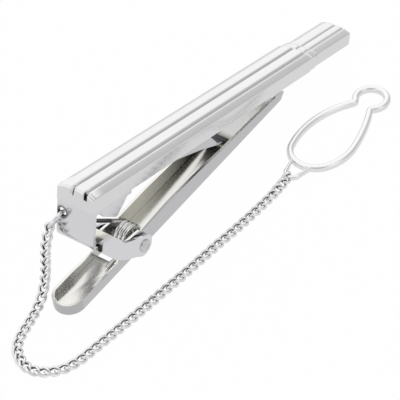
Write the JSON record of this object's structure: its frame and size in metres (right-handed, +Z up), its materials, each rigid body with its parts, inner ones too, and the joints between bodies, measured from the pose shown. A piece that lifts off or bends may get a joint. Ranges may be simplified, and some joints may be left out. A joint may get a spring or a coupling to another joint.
{
  "type": "tie clip",
  "caption": "Sprung tie clip with a ridged bar, a hinged lever, a fixed jaw, and a safety chain that ends in a button loop.",
  "frame": {"origin": "middle of the whole box in plan, on the table under the part", "axes": "+X along the bar's plan direction, from the hinge end to the tip; +Y across the bar, away from the chain's long stretch; +Z up"},
  "size_m": [0.071, 0.0182, 0.0156],
  "materials": {
    "bar_plate": "polished bright plate",
    "back_plate": "bright plate, unpolished",
    "bracket_plate": "satin bright plate",
    "jaw_plate": "satin bright plate",
    "pin_steel": "turned steel, riveted over",
    "lever_plate": "bright plate over pressed sheet",
    "spring_steel": "drawn spring wire",
    "ring_wire": "bright drawn wire",
    "chain_wire": "bright drawn wire",
    "loop_plate": "polished bright plate"
  },
  "bodies": {
    "clip": {"main_bar": "bar_plate", "back_plate": "back_plate", "bar_collar": "bar_plate", "bar_tip": "bar_plate", "hinge_bracket": "bracket_plate", "fixed_jaw": "jaw_plate", "hinge_pin": "pin_steel", "torsion_spring": "spring_steel"},
    "lever": {"lever": "lever_plate"},
    "clip_ring": {"clip_ring": "ring_wire"},
    "button_loop": {"button_loop": "loop_plate"},
    "chain_1": {"chain_run_1": "chain_wire"},
    "chain_2": {"chain_run_2": "chain_wire"},
    "chain_3": {"chain_run_3": "chain_wire"},
    "chain_4": {"chain_run_4": "chain_wire"},
    "chain_5": {"chain_run_5": "chain_wire"},
    "chain_6": {"chain_run_6": "chain_wire"},
    "chain_7": {"chain_run_7": "chain_wire"},
    "chain_8": {"chain_run_8": "chain_wire"}
  },
  "joints": [
    {"name": "lever_hinge", "type": "hinge", "parent": "clip", "child": "lever", "pos_m": [-0.01251, 0.00541, 0.00145], "axis": [0, 1, 0], "range_deg": [0, 22], "stiffness_Nm_per_rad": 0.004, "springref_deg": -20.05, "deforming": ["torsion_spring"]},
    {"name": "ring_swing", "type": "hinge", "parent": "clip", "child": "clip_ring", "pos_m": [-0.0206, 0.00738, 0.01158], "axis": [-0.7463, -0.3709, 0.5528], "range_deg": [-20, 3]},
    {"name": "chain_1_swing", "type": "hinge", "parent": "clip_ring", "child": "chain_1", "pos_m": [-0.02229, 0.00832, 0.00994], "axis": [0, 1, 0], "range_deg": [-4, 12]},
    {"name": "chain_2_bend", "type": "hinge", "parent": "chain_1", "child": "chain_2", "pos_m": [-0.02479, 0.00831, 0.00238], "axis": [0, 1, 0], "range_deg": [-8, 8]},
    {"name": "chain_3_bend", "type": "hinge", "parent": "chain_2", "child": "chain_3", "pos_m": [-0.03209, 0.00658, 0.0005], "axis": [0, 0, 1], "range_deg": [-15, 10]},
    {"name": "chain_4_bend", "type": "hinge", "parent": "chain_3", "child": "chain_4", "pos_m": [-0.03322, -0.00018, 0.0005], "axis": [0, 0, 1], "range_deg": [-15, 5]},
    {"name": "chain_5_bend", "type": "hinge", "parent": "chain_4", "child": "chain_5", "pos_m": [-0.02528, -0.00212, 0.0005], "axis": [0, 0, 1], "range_deg": [-10, 10]},
    {"name": "chain_6_bend", "type": "hinge", "parent": "chain_5", "child": "chain_6", "pos_m": [-0.01705, -0.00312, 0.0005], "axis": [0, 0, 1], "range_deg": [-10, 10]},
    {"name": "chain_7_bend", "type": "hinge", "parent": "chain_6", "child": "chain_7", "pos_m": [-0.0088, -0.00396, 0.0005], "axis": [0, 0, 1], "range_deg": [-12, 12]},
    {"name": "chain_8_bend", "type": "hinge", "parent": "chain_7", "child": "chain_8", "pos_m": [-0.00055, -0.00476, 0.0005], "axis": [0, 0, 1], "range_deg": [-15, 15]},
    {"name": "loop_swing", "type": "hinge", "parent": "chain_8", "child": "button_loop", "pos_m": [0.00772, -0.00489, 0.00075], "axis": [0, 0, 1], "range_deg": [-20, 20]}
  ]
}
